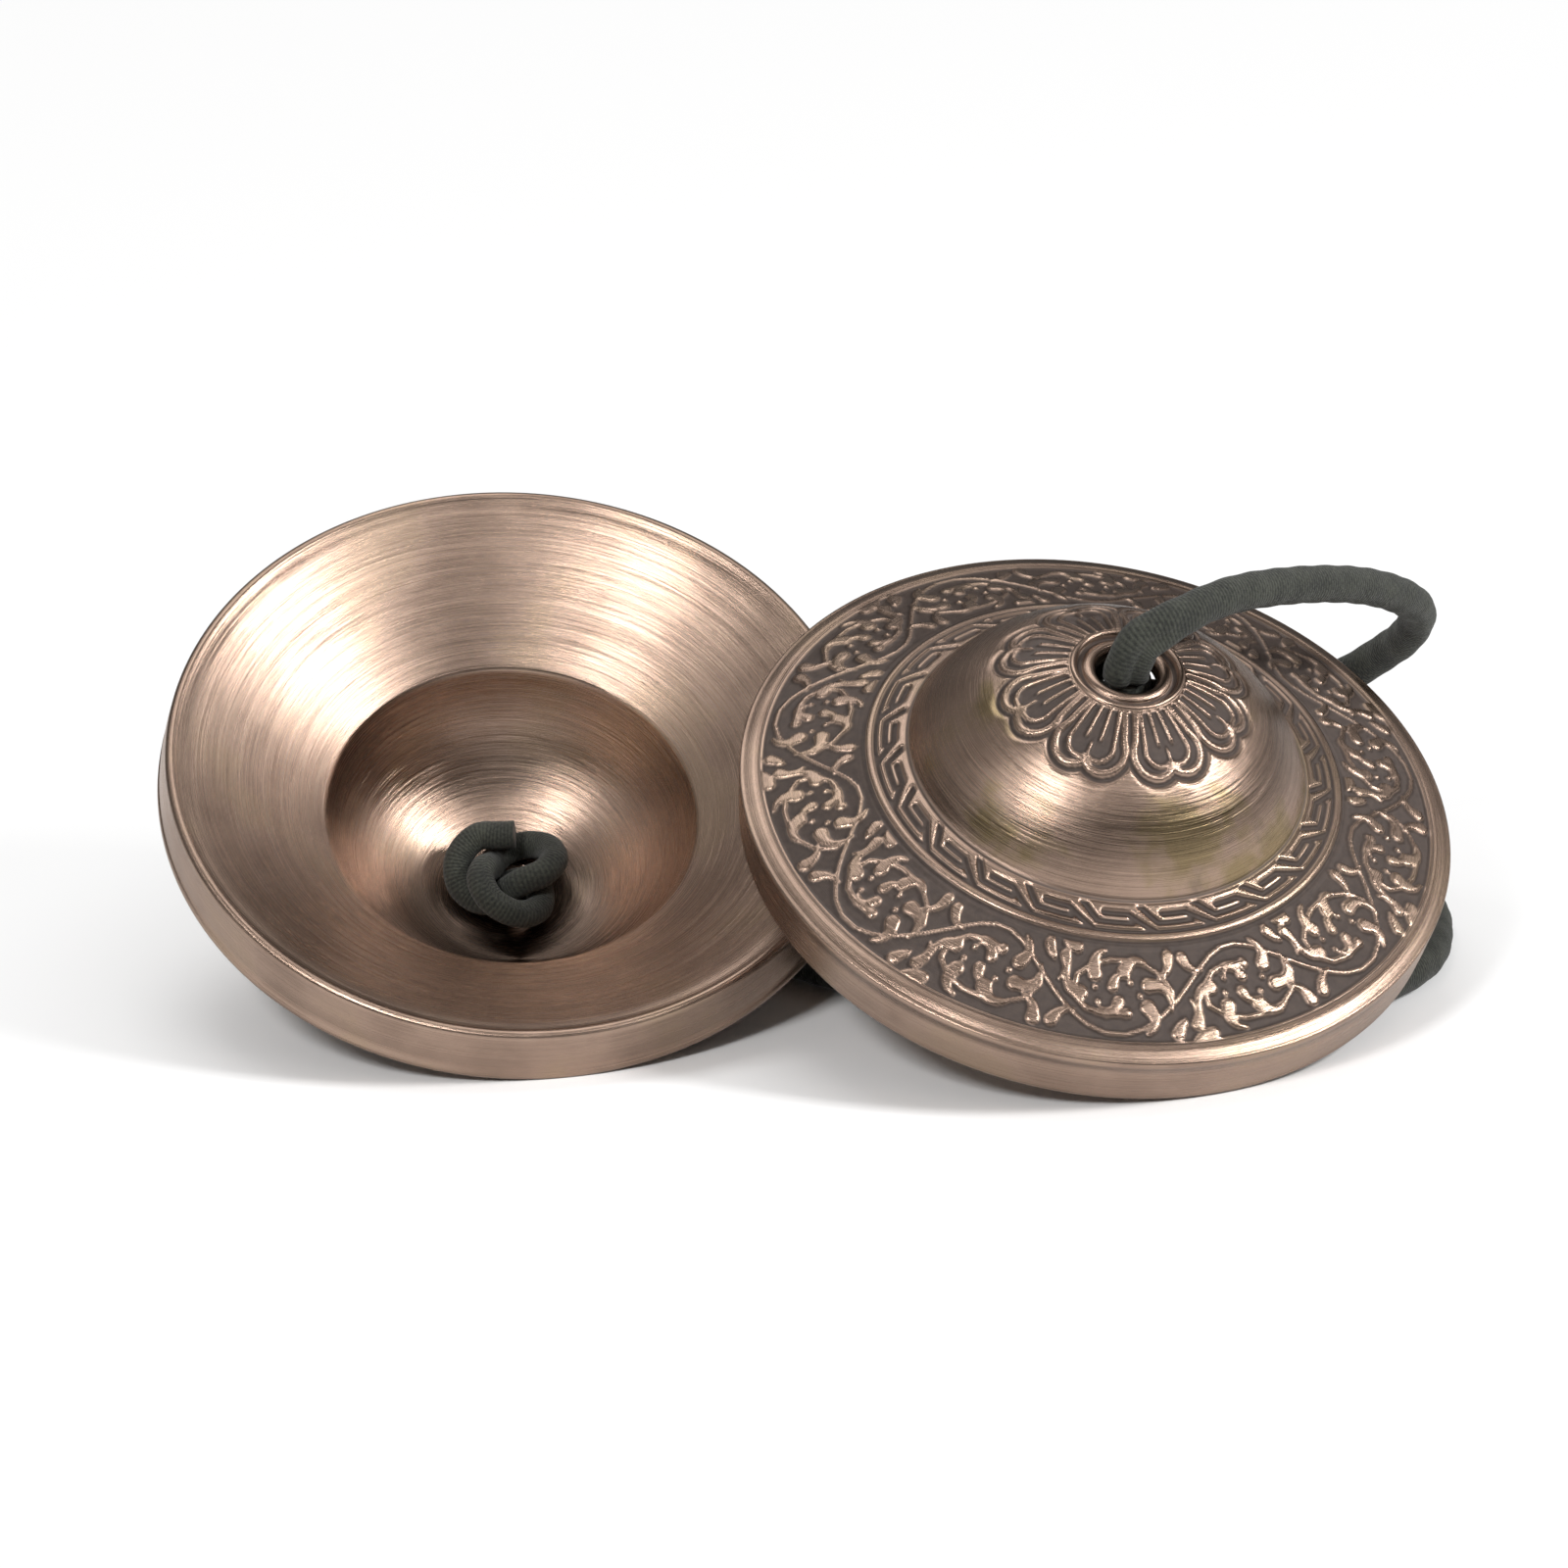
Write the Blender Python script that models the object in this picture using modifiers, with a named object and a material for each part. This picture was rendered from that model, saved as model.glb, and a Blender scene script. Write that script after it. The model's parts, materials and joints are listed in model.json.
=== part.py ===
"""Tingsha: two thick cast bronze cymbals joined by one cord that is knotted inside each boss.

The left cymbal lies mouth up, resting on its rim and the crown of its boss. The right cymbal
lies boss up with its near rim on the ground and its far rim raised over the left one. The cord
arcs out of the right boss, folds back behind the rim, loops over the ground and runs under
both cymbals into the left boss. Lengths are in metres, +Z is up, and +Y points away from the
viewer. The origin is on the ground under the middle of the two cymbals' bounding box.
"""
import math

import bmesh
import bpy
import numpy as np
from mathutils import Matrix, Vector

MM = 0.001

# Cymbal section: heights are measured from the wall's upper edge, positive toward the boss
RIM_RADIUS = 32.5 * MM
WALL_HEIGHT = 5.35 * MM
WALL_DRAFT = 0.65 * MM
LIP_WIDTH = 0.85 * MM
LIP_ROUND = 0.35 * MM
BEVEL_WIDTH = 1.85 * MM
BEVEL_RISE = 0.83 * MM
RIDGE_RADIUS = 21.4 * MM
RIDGE_HEIGHT = 4.6 * MM
BOSS_BASE_HEIGHT = 6.0 * MM
BOSS_BASE_GROOVE = 0.3 * MM
DOME_RADIUS = 19.91 * MM
DOME_CENTRE = -2.51 * MM
DOME_THICKNESS = 2.0 * MM
SHOULDER_HEIGHT = 3.0 * MM
DISH_HOLLOW = 0.25 * MM
COLLAR_RADIUS = 4.97 * MM
COLLAR_RISE = 0.12 * MM
COLLAR_GROOVE = 0.45 * MM
HOLE_RADIUS = 2.75 * MM
HOLE_ROUND = 0.5 * MM
TURN_STEPS = 48
DOME_STEPS = 8
HOLLOW_STEPS = 6
DISH_STEPS = 3

# Resting arrangement: a heading is the compass turn of an upper side's lean, from +X
LEFT_HEADING = math.radians(-80.37)
RIGHT_HEADING = math.radians(-68.67)
RIGHT_TILT = math.radians(26.67)
RIGHT_BEARING = math.radians(-12.66)
CLEARANCE = 0.3 * MM

# Cord: its free stretch, and the thinner, tightened strand of each overhand knot
CORD_DIAMETER = 3.6 * MM
CORD_SETBACK = 0.8 * MM
SAMPLES_PER_SPAN = 2
KNOT_STRAND = 2.3 * MM
KNOT_RING = 3.3 * MM
KNOT_TWIST = 1.5 * MM
KNOT_LEAD = [(0.27, math.radians(-60), 1.45), (0.7, math.radians(-28), 1.22)]
KNOT_POINTS = 20
KNOT_SWEEP = math.radians(300)
KNOT_TAIL = 1.2 * MM

# Hand-chosen route of the free cord between the two bosses, x, y and height in millimetres
CORD_ARC = [
    (30.4, -12.2, 36.3), (33.4, -11.3, 38.0), (38.4, -7.2, 38.8), (44.9, -1.0, 37.7),
    (51.6, 6.0, 35.2), (56.0, 11.8, 32.0), (57.5, 15.6, 29.3), (56.7, 19.4, 25.9),
    (54.0, 23.5, 22.4), (48.5, 26.5, 17.5), (45.5, 27.6, 9.5),
]
CORD_GROUND = [
    (43.8, 26.6, 3.3), (47.5, 22.8, 1.9), (53.8, 19.0, 1.9), (57.5, 13.0, 1.9), (57.9, 5.0, 1.9),
    (56.0, -3.0, 1.9), (50.5, -9.5, 1.9), (41.0, -13.0, 1.9), (28.0, -13.0, 1.9),
    (15.0, -8.5, 1.9), (4.0, -1.0, 1.9), (-5.0, 7.5, 1.9), (-13.0, 15.5, 1.9),
    (-20.0, 22.0, 1.9), (-26.0, 24.5, 1.9), (-30.3, 22.3, 1.9), (-29.4, 18.9, 2.15),
]

BRONZE = (0.42, 0.29, 0.22, 1.0)
SUEDE = (0.045, 0.052, 0.045, 1.0)


def arc(radius, centre, start_radius, end_radius, count):
    """Points (r, z) on a sphere's section round the axis, from one radius to the other."""
    start = math.asin(start_radius / radius)
    end = math.asin(end_radius / radius)
    angles = [start + (end - start) * i / count for i in range(count + 1)]
    return [(radius * math.sin(a), centre + radius * math.cos(a)) for a in angles]


def cymbal_section():
    """Closed outline of the cymbal, from the hole's outer edge over the boss and back inside."""
    crown = DOME_CENTRE + math.sqrt(DOME_RADIUS**2 - COLLAR_RADIUS**2)
    boss_base = math.sqrt(DOME_RADIUS**2 - (BOSS_BASE_HEIGHT - DOME_CENTRE)**2)
    hollow_radius = DOME_RADIUS - DOME_THICKNESS
    shoulder = math.sqrt(hollow_radius**2 - (SHOULDER_HEIGHT - DOME_CENTRE)**2)
    lip_outer = RIM_RADIUS - WALL_DRAFT
    lip_inner = lip_outer - LIP_WIDTH

    hole_edge = [
        (HOLE_RADIUS, crown - HOLE_ROUND),
        (HOLE_RADIUS + HOLE_ROUND, crown),
        (COLLAR_RADIUS - 2 * COLLAR_GROOVE, crown - COLLAR_GROOVE),
        (COLLAR_RADIUS - COLLAR_GROOVE, crown - COLLAR_GROOVE),
        (COLLAR_RADIUS, crown + COLLAR_RISE),
    ]
    dome = arc(DOME_RADIUS, DOME_CENTRE, COLLAR_RADIUS + COLLAR_RISE, boss_base, DOME_STEPS)
    flange = [
        (boss_base + BOSS_BASE_GROOVE, BOSS_BASE_HEIGHT - BOSS_BASE_GROOVE),
        (RIDGE_RADIUS, RIDGE_HEIGHT),
        (RIM_RADIUS - BEVEL_WIDTH, BEVEL_RISE),
        (RIM_RADIUS, 0.0),
    ]
    wall = [
        (lip_outer, LIP_ROUND - WALL_HEIGHT),
        (lip_outer - LIP_ROUND, -WALL_HEIGHT),
        (lip_inner, -WALL_HEIGHT),
    ]
    dish = []
    for i in range(1, DISH_STEPS + 1):
        share = i / (DISH_STEPS + 1)
        hollow = DISH_HOLLOW * math.sin(math.pi * share)
        radius = lip_inner + (shoulder - lip_inner) * share
        height = -WALL_HEIGHT + (SHOULDER_HEIGHT + WALL_HEIGHT) * share
        dish.append((radius + hollow, height - hollow))
    inside = arc(hollow_radius, DOME_CENTRE, shoulder, HOLE_RADIUS, HOLLOW_STEPS)
    return hole_edge + dome + flange + wall + dish + inside


def dome_lean():
    """Tilt at which the wall's upper edge and the dome touch the same flat ground."""
    reach = math.hypot(RIM_RADIUS, DOME_CENTRE)
    return math.asin(DOME_RADIUS / reach) + math.atan2(DOME_CENTRE, RIM_RADIUS)


def leaning(heading, tilt, boss_up):
    """Rotation of a cymbal whose upper side leans by a tilt toward a heading."""
    turn = Matrix.Rotation(heading, 4, 'Z') @ Matrix.Rotation(tilt, 4, 'Y')
    if boss_up:
        return turn
    return turn @ Matrix.Rotation(math.pi, 4, 'Y')


def turned_points(section, rotation, steps):
    """All corners of the turned section after a rotation, as an array of x, y, z."""
    rotate = np.array(rotation.to_3x3())
    angles = np.arange(steps) * 2 * math.pi / steps
    rings = [
        np.stack([r * np.cos(angles), r * np.sin(angles), np.full(steps, z)], axis=1)
        for r, z in section
    ]
    return np.concatenate(rings) @ rotate.T


def section_distance(radii, heights, section):
    """Signed distance of points (r, z) to the closed section, negative inside the metal."""
    corners = np.array(section)
    following = np.roll(corners, -1, axis=0)
    edge = following - corners
    points = np.stack([radii, heights], axis=1)[:, None, :]
    share = ((points - corners) * edge).sum(2) / (edge**2).sum(1)
    nearest = corners + np.clip(share, 0, 1)[:, :, None] * edge
    distance = np.linalg.norm(points - nearest, axis=2).min(1)
    above = corners[:, 1] > heights[:, None]
    crosses = above != (following[:, 1] > heights[:, None])
    rise = np.where(edge[:, 1] == 0, 1.0, edge[:, 1])
    meets = corners[:, 0] + (heights[:, None] - corners[:, 1]) * edge[:, 0] / rise
    inside = (crosses & (radii[:, None] < meets)).sum(1) % 2 == 1
    return np.where(inside, -distance, distance)


def gap_to_cymbal(points, rotation, centre, section):
    """Least distance from points to a turned cymbal at a centre."""
    local = (points - centre) @ np.array(rotation.to_3x3())
    radii = np.linalg.norm(local[:, :2], axis=1)
    return section_distance(radii, local[:, 2], section).min()


def arrange(section):
    """Placing matrices of both cymbals: grounded, one gap apart and centred on the origin."""
    left_turn = leaning(LEFT_HEADING, dome_lean(), boss_up=False)
    right_turn = leaning(RIGHT_HEADING, RIGHT_TILT, boss_up=True)
    fine = 4 * TURN_STEPS
    left = turned_points(section, left_turn, fine)
    right = turned_points(section, right_turn, fine)
    left_centre = np.array([0.0, 0.0, -left[:, 2].min()])
    bearing = np.array([math.cos(RIGHT_BEARING), math.sin(RIGHT_BEARING), 0.0])

    near, far = RIM_RADIUS, 3 * RIM_RADIUS
    while far - near > CLEARANCE / 1000:
        reach = (near + far) / 2
        right_centre = bearing * reach - np.array([0.0, 0.0, right[:, 2].min()])
        gap = min(
            gap_to_cymbal(left + left_centre, right_turn, right_centre, section),
            gap_to_cymbal(right + right_centre, left_turn, left_centre, section),
        )
        if gap < CLEARANCE:
            near = reach
        else:
            far = reach

    both = np.concatenate([left + left_centre, right + right_centre])
    middle = (both.min(0) + both.max(0)) / 2
    shift = Vector((-middle[0], -middle[1], 0.0))
    return (
        Matrix.Translation(Vector(left_centre) + shift) @ left_turn,
        Matrix.Translation(Vector(right_centre) + shift) @ right_turn,
    )


def smooth_route(route):
    """Points on a centripetal curve through the route's points, a few for each span."""
    points = [np.array(p, float) for p in route]
    padded = [2 * points[0] - points[1]] + points + [2 * points[-1] - points[-2]]
    result = []
    for before, start, end, after in zip(padded, padded[1:], padded[2:], padded[3:]):
        knots = [0.0]
        for a, b in ((before, start), (start, end), (end, after)):
            knots.append(knots[-1] + math.sqrt(np.linalg.norm(b - a)))
        k0, k1, k2, k3 = knots
        for i in range(SAMPLES_PER_SPAN):
            k = k1 + (k2 - k1) * i / SAMPLES_PER_SPAN
            a1 = (before * (k1 - k) + start * (k - k0)) / (k1 - k0)
            a2 = (start * (k2 - k) + end * (k - k1)) / (k2 - k1)
            a3 = (end * (k3 - k) + after * (k - k2)) / (k3 - k2)
            b1 = (a1 * (k2 - k) + a2 * (k - k0)) / (k2 - k0)
            b2 = (a2 * (k3 - k) + a3 * (k - k1)) / (k3 - k1)
            result.append((b1 * (k2 - k) + b2 * (k - k1)) / (k2 - k1))
    result.append(points[-1])
    return result


def hollow_crown():
    """Height of the boss's inner surface at the edge of the hole."""
    return DOME_CENTRE + math.sqrt((DOME_RADIUS - DOME_THICKNESS)**2 - HOLE_RADIUS**2)


def knot_route(phase):
    """Route of an overhand knot, a trefoil wound on a ring, with its lead-in and its cut tail."""
    top = hollow_crown() + CORD_SETBACK - 2 * CLEARANCE
    seat = DOME_RADIUS - DOME_THICKNESS - CLEARANCE - KNOT_TWIST - KNOT_STRAND / 2
    middle = DOME_CENTRE + math.sqrt(seat**2 - KNOT_RING**2)
    route = [(0.0, 0.0, top), (0.0, 0.0, top - KNOT_STRAND / 3)]

    def add(radius, around, height):
        turn = around + phase
        route.append((radius * math.cos(turn), radius * math.sin(turn), middle + height))

    for ring_share, around, twist_share in KNOT_LEAD:
        add(KNOT_RING * ring_share, around, KNOT_TWIST * twist_share)
    for i in range(KNOT_POINTS + 1):
        t = KNOT_SWEEP * i / KNOT_POINTS
        add(KNOT_RING + KNOT_TWIST * math.sin(3 * t), 2 * t, KNOT_TWIST * math.cos(3 * t))
    last = np.array(route[-1])
    heading = last - np.array(route[-2])
    route.append(tuple(last + heading / np.linalg.norm(heading) * KNOT_TAIL))
    return route


def make_material(name, colour, metallic, roughness):
    """Plain surface finish."""
    material = bpy.data.materials.new(name)
    material.use_nodes = True
    shader = material.node_tree.nodes["Principled BSDF"]
    shader.inputs["Base Color"].default_value = colour
    shader.inputs["Metallic"].default_value = metallic
    shader.inputs["Roughness"].default_value = roughness
    return material


def add_cymbal(name, section, placing, material, collection):
    """One cymbal: the closed section turned round its own Z axis and set in its place."""
    mesh = bpy.data.meshes.new(name)
    outline = bmesh.new()
    corners = [outline.verts.new((r, 0.0, z)) for r, z in section]
    for first, second in zip(corners, corners[1:] + corners[:1]):
        outline.edges.new((first, second))
    outline.to_mesh(mesh)
    outline.free()
    cymbal = bpy.data.objects.new(name, mesh)
    cymbal.data.materials.append(material)
    cymbal.matrix_world = placing
    collection.objects.link(cymbal)
    screw = cymbal.modifiers.new("Turned", 'SCREW')
    screw.axis = 'Z'
    screw.angle = 2 * math.pi
    screw.steps = TURN_STEPS
    screw.render_steps = TURN_STEPS
    screw.use_merge_vertices = True
    screw.merge_threshold = CLEARANCE / 10
    screw.use_smooth_shade = True
    return cymbal


def add_tube(name, route, diameter, material, collection):
    """One round strand along a smooth curve through a route's points."""
    curve = bpy.data.curves.new(name, 'CURVE')
    curve.dimensions = '3D'
    curve.bevel_depth = diameter / 2
    curve.bevel_resolution = 2
    curve.use_fill_caps = True
    points = smooth_route(route)
    spline = curve.splines.new('POLY')
    spline.points.add(len(points) - 1)
    for target, point in zip(spline.points, points):
        target.co = (point[0], point[1], point[2], 1.0)
    spline.use_smooth = True
    tube = bpy.data.objects.new(name, curve)
    tube.data.materials.append(material)
    collection.objects.link(tube)
    return tube


def cord_route(left_placing, right_placing):
    """Route of the free cord, from inside the right boss to inside the left one."""
    inner = hollow_crown() + CORD_SETBACK
    outer = hollow_crown() + DOME_THICKNESS
    leaving = [right_placing @ Vector((0.0, 0.0, z)) for z in (inner, outer)]
    entering = [left_placing @ Vector((0.0, 0.0, z)) for z in ((inner + outer) / 2, inner)]
    free = [Vector(p) * MM for p in CORD_ARC + CORD_GROUND]
    return [tuple(p) for p in leaving + free + entering]


def build():
    """The whole tingsha in its own collection."""
    for old in list(bpy.data.objects):
        bpy.data.objects.remove(old, do_unlink=True)
    collection = bpy.data.collections.new("tingsha")
    bpy.context.scene.collection.children.link(collection)
    bronze = make_material("bronze", BRONZE, 1.0, 0.35)
    suede = make_material("suede", SUEDE, 0.0, 0.9)

    section = cymbal_section()
    left_placing, right_placing = arrange(section)
    add_cymbal("cymbal_left", section, left_placing, bronze, collection)
    add_cymbal("cymbal_right", section, right_placing, bronze, collection)
    add_tube("cord", cord_route(left_placing, right_placing), CORD_DIAMETER, suede, collection)

    for side, placing, phase in (
        ("left", left_placing, math.radians(20)),
        ("right", right_placing, math.radians(80)),
    ):
        knot = add_tube("knot_" + side, knot_route(phase), KNOT_STRAND, suede, collection)
        knot.matrix_world = placing


build()
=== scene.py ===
"""Looks of a tingsha: two chased bronze cymbals on one suede-covered cord, on a white table.

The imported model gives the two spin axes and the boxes. The cymbals are turned here at a fine
pitch with their chased ornament raised in the mesh, the cord and its two knots are swept
tubes, and every finish is procedural. Lengths are in metres unless a name says millimetres.
"""

import json
import logging
import math
from dataclasses import dataclass, field
from enum import Enum
from typing import Any, Callable, Optional, Sequence, Union

import bpy
import numpy as np
from mathutils import Matrix, Vector

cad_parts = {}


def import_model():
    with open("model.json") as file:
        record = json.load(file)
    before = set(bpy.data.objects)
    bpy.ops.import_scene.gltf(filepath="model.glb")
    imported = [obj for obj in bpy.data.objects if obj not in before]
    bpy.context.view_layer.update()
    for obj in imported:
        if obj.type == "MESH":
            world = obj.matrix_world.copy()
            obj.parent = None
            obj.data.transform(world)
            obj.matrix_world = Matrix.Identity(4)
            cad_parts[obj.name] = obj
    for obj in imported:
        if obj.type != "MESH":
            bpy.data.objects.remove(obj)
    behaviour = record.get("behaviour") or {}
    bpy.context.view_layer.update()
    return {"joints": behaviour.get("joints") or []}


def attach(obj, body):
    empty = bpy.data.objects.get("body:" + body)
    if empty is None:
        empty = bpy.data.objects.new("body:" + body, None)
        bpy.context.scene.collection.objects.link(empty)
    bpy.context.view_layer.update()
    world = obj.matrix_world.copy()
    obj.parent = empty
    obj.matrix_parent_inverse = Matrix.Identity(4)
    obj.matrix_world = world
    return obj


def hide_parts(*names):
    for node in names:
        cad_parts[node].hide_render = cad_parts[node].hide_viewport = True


LOG = logging.getLogger("tingsha")
MM = 0.001
Point = tuple[float, float, float]


class Side(Enum):
    """The two cymbals, by their place in the picture."""

    LEFT = "left"
    RIGHT = "right"


class Socket:
    """A shader value that can be written in Python expressions."""

    def __init__(self, graph: "Graph", link: Any) -> None:
        """Wrap an output socket of a material's graph."""
        self.graph = graph
        self.link = link

    def _math(self, operation: str, *values: Any) -> "Socket":
        """Add one Math node over some values."""
        return self.graph.node("ShaderNodeMath", {"operation": operation}, values)

    def __add__(self, other: Any) -> "Socket":
        """Sum of two values."""
        return self._math("ADD", self, other)

    def __radd__(self, other: Any) -> "Socket":
        """Sum with the number on the left."""
        return self._math("ADD", other, self)

    def __sub__(self, other: Any) -> "Socket":
        """Difference of two values."""
        return self._math("SUBTRACT", self, other)

    def __rsub__(self, other: Any) -> "Socket":
        """Difference with the number on the left."""
        return self._math("SUBTRACT", other, self)

    def __mul__(self, other: Any) -> "Socket":
        """Product of two values."""
        return self._math("MULTIPLY", self, other)

    def __rmul__(self, other: Any) -> "Socket":
        """Product with the number on the left."""
        return self._math("MULTIPLY", other, self)

    def __truediv__(self, other: Any) -> "Socket":
        """Quotient of two values."""
        return self._math("DIVIDE", self, other)

    def power(self, exponent: float) -> "Socket":
        """This value raised to a power."""
        return self._math("POWER", self, exponent)

    def sine(self) -> "Socket":
        """Sine of this value."""
        return self._math("SINE", self)

    def ramp(self, low: float, high: float) -> "Socket":
        """This value stretched so that low gives 0 and high gives 1, held between them.

        Args:
            low: value that gives 0.
            high: value that gives 1.

        Returns:
            The smoothed and clamped value.
        """
        settings = {"interpolation_type": "SMOOTHSTEP"}
        return self.graph.node("ShaderNodeMapRange", settings, (self, low, high, 0.0, 1.0))


class Graph:
    """One material's node graph."""

    def __init__(self, name: str) -> None:
        """Start an empty material with its output node."""
        self.material = bpy.data.materials.new(name)
        self.material.use_nodes = True
        self.tree = self.material.node_tree
        self.tree.nodes.clear()

    def node(self, kind: str, settings: dict[str, Any], values: Union[Sequence, dict],
             output: Union[int, str] = 0) -> Socket:
        """Add a node.

        Args:
            kind: the node's type.
            settings: its properties, set before its sockets.
            values: numbers, colours or sockets, in order or by socket name.
            output: the output that is returned, by place or name.

        Returns:
            The wrapped output socket.
        """
        node = self.tree.nodes.new(kind)
        for key, value in settings.items():
            setattr(node, key, value)
        pairs = values.items() if isinstance(values, dict) else enumerate(values)
        for key, value in pairs:
            if isinstance(value, Socket):
                self.tree.links.new(value.link, node.inputs[key])
            elif value is not None:
                node.inputs[key].default_value = value
        return Socket(self, node.outputs[output])

    def colour_mix(self, factor: Any, low: Any, high: Any, blend: str = "MIX") -> Socket:
        """Colour between two colours.

        Args:
            factor: 0 for the first colour and 1 for the second.
            low: first colour.
            high: second colour.
            blend: how they are combined.

        Returns:
            The mixed colour.
        """
        settings = {"data_type": "RGBA", "blend_type": blend}
        return self.node("ShaderNodeMix", settings, {0: factor, 6: low, 7: high}, 2)

    def noise(self, vector: Socket, scale: float, detail: float = 3.0,
              roughness: float = 0.5) -> Socket:
        """Value noise between 0 and 1.

        Args:
            vector: where it is read.
            scale: how many features fit in one unit.
            detail: how many octaves it has.
            roughness: how strong the small octaves are.

        Returns:
            The noise value.
        """
        values = {"Vector": vector, "Scale": scale, "Detail": detail, "Roughness": roughness}
        return self.node("ShaderNodeTexNoise", {}, values, "Fac")

    def vector(self, x: Any, y: Any, z: Any) -> Socket:
        """Vector from three values."""
        return self.node("ShaderNodeCombineXYZ", {}, (x, y, z))

    def attribute(self, name: str) -> Socket:
        """Value stored on the mesh's points under a name."""
        return self.node("ShaderNodeAttribute", {"attribute_name": name}, (), "Fac")

    def shader(self, values: dict[str, Any]) -> None:
        """Finish the material with a Principled shader that has these socket values."""
        surface = self.node("ShaderNodeBsdfPrincipled", {}, values)
        self.node_output(surface)

    def node_output(self, surface: Socket) -> None:
        """Link a shader to the material's output."""
        output = self.tree.nodes.new("ShaderNodeOutputMaterial")
        self.tree.links.new(surface.link, output.inputs["Surface"])


@dataclass(frozen=True)
class BronzeFinish:
    """Antiqued bronze: bright where it is rubbed, brown in the chased ground, spun marks."""

    bright: tuple = (0.38, 0.272, 0.212, 1.0)
    body: tuple = (0.205, 0.142, 0.108, 1.0)
    recess: tuple = (0.042, 0.033, 0.030, 1.0)
    olive: tuple = (0.22, 0.165, 0.085, 1.0)
    smudge: tuple = (0.06, 0.052, 0.045, 1.0)
    roughness: float = 0.23
    spun: float = 0.84

    def material(self, name: str, placing: Matrix) -> bpy.types.Material:
        """Make the finish for one cymbal.

        Args:
            name: the material's name.
            placing: the cymbal's own frame, whose Z axis it is turned round.

        Returns:
            The material.
        """
        g = Graph(name)
        back = placing.inverted()
        place = g.node("ShaderNodeTexCoord", {}, (), "Object")
        turn = {"Vector": place, "Location": back.translation, "Rotation": back.to_euler()}
        local = g.node("ShaderNodeMapping", {}, turn, 0)
        split = g.tree.nodes.new("ShaderNodeSeparateXYZ")
        g.tree.links.new(local.link, split.inputs[0])
        x, y = Socket(g, split.outputs[0]), Socket(g, split.outputs[1])
        radius = (x * x + y * y).power(0.5)
        along = g.attribute("along")
        relief = g.attribute("relief")
        plain = g.attribute("plain")
        around_x, around_y = x / radius, y / radius

        coarse = g.noise(g.vector(along * 9.0, around_x * 0.5, around_y * 0.5), 1.0, 1.0)
        fine = g.noise(g.vector(along * 31.0, around_x * 1.1, around_y * 1.1), 1.0, 1.0)
        spun = coarse * 0.35 + fine * 0.65
        cloud = g.noise(local, 90.0, 4.0, 0.6)
        fleck = g.noise(local, 1400.0, 3.0, 0.6)

        rubbed = relief.ramp(0.15, 0.85)
        tone = g.colour_mix(cloud.ramp(0.3, 0.7), self.body, self.bright)
        tone = g.colour_mix(spun.ramp(0.3, 0.7) * 0.65, tone, self.bright)
        olive = cloud.ramp(0.5, 0.63) * plain * 0.85
        tone = g.colour_mix(olive, tone, self.olive)
        dark_cloud = g.noise(local, 60.0, 5.0, 0.65)
        tone = g.colour_mix(dark_cloud.ramp(0.6, 0.74) * plain * 0.75, tone, self.smudge)
        colour = g.colour_mix(rubbed, g.colour_mix(fleck * 0.3, self.recess, self.body), tone)

        rough = self.roughness + (1 - rubbed) * 0.38 + spun * 0.08
        height = spun + fleck * (1 - rubbed) * 0.8
        bump = g.node("ShaderNodeBump", {}, {"Strength": 1.0, "Distance": 0.00002, "Height": height})
        g.shader({"Base Color": colour, "Metallic": 1.0 - (1 - rubbed) * 0.55, "Roughness": rough,
                  "Anisotropic": self.spun, "Normal": bump})
        return g.material


@dataclass(frozen=True)
class SuedeFinish:
    """Dark green-grey ribbed suede cord, with a pale cut end."""

    dark: tuple = (0.008, 0.009, 0.007, 1.0)
    light: tuple = (0.048, 0.051, 0.038, 1.0)
    cut: tuple = (0.16, 0.13, 0.11, 1.0)

    def material(self, name: str) -> bpy.types.Material:
        """Make the finish; it reads the piece's along, around and cut attributes."""
        g = Graph(name)
        along = g.attribute("along")
        around = g.attribute("around")
        cut = g.attribute("cut")
        place = g.node("ShaderNodeTexCoord", {}, (), "Object")
        rib = (along * 19.0 + around * 2.0 * math.pi * 1.0).sine()
        stitch = (around * 2.0 * math.pi * 14.0).sine() * (along * 7.0).sine()
        weave = rib * 0.5 + stitch * 0.35
        fuzz = g.noise(place, 5200.0, 3.0, 0.7)
        patch = g.noise(place, 420.0, 3.0, 0.6)
        light = (weave * 0.28 + 0.5 + (fuzz - 0.5) * 1.1 + (patch - 0.5) * 0.8).ramp(0.15, 0.95)
        colour = g.colour_mix(cut, g.colour_mix(light, self.dark, self.light), self.cut)
        height = weave * 0.5 + fuzz * 1.2
        bump = g.node("ShaderNodeBump", {}, {"Strength": 0.7, "Distance": 0.00011, "Height": height})
        g.shader({"Base Color": colour, "Roughness": 0.92, "Sheen Weight": 0.1,
                  "Sheen Roughness": 0.5, "Normal": bump})
        return g.material


@dataclass(frozen=True)
class Stroke:
    """A raised vine or leaf: route points on the band and its half width at both ends, in mm."""

    points: tuple[tuple[float, float], ...]
    start: float
    end: float


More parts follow.
